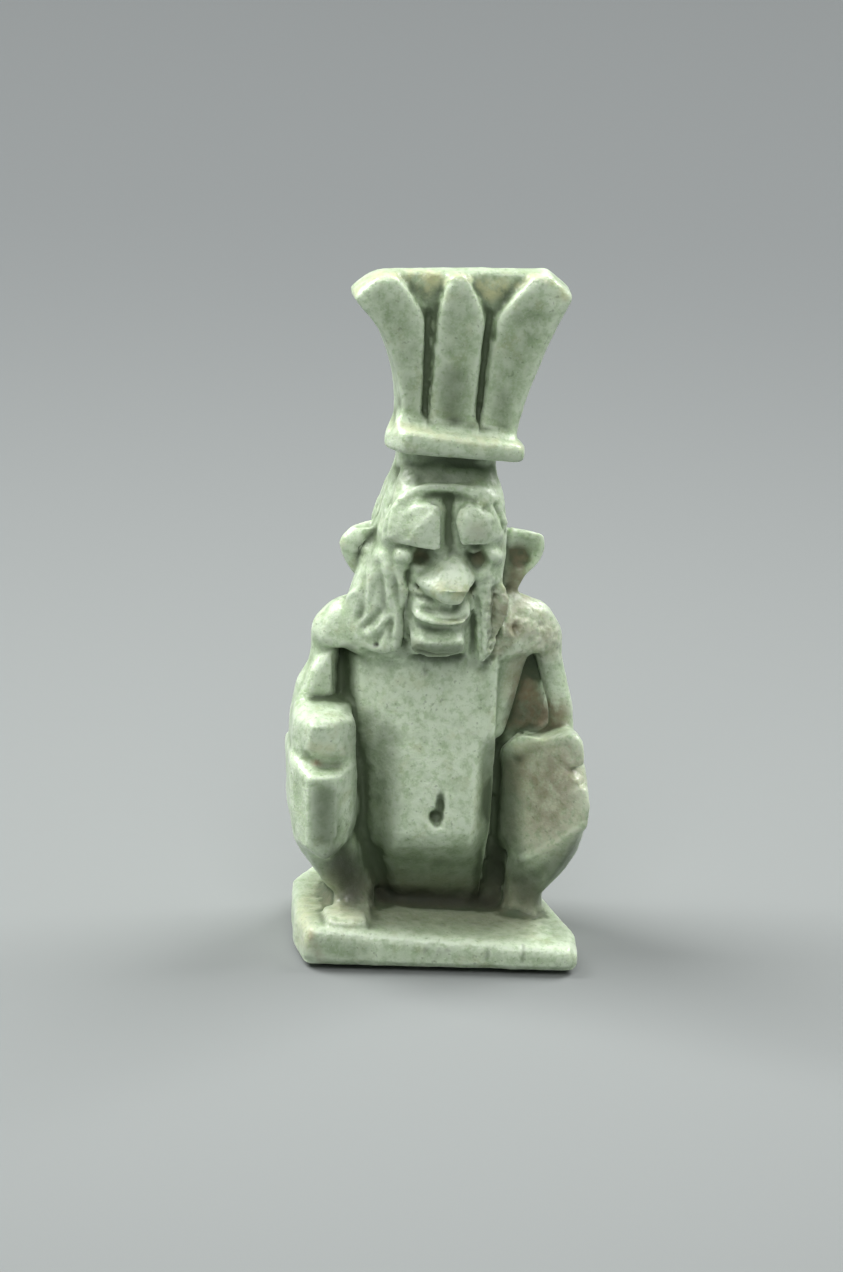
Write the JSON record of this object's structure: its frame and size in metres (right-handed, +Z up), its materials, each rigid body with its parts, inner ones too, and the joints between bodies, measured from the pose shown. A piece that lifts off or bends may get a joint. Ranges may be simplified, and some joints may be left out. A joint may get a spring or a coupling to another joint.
{
  "type": "bes amulet",
  "caption": "Small glazed amulet of a squatting, lion-maned dwarf god in a tall plume crown, hands on knees, on a base plate, with a hanging loop behind the head.",
  "frame": {"origin": "middle of the underside of the base plate, under the centre of the bounding box", "axes": "+Z up along the figure's height, -Y towards the side the figure faces, +X to the right of a viewer who looks at its face"},
  "size_m": [0.0104, 0.0082, 0.024],
  "materials": {
    "faience": "satin-glossy pale grey-green glaze, yellowish on the worn edges, brown dirt in the recesses"
  },
  "bodies": {
    "root": {"bes_amulet": "faience"}
  },
  "joints": []
}
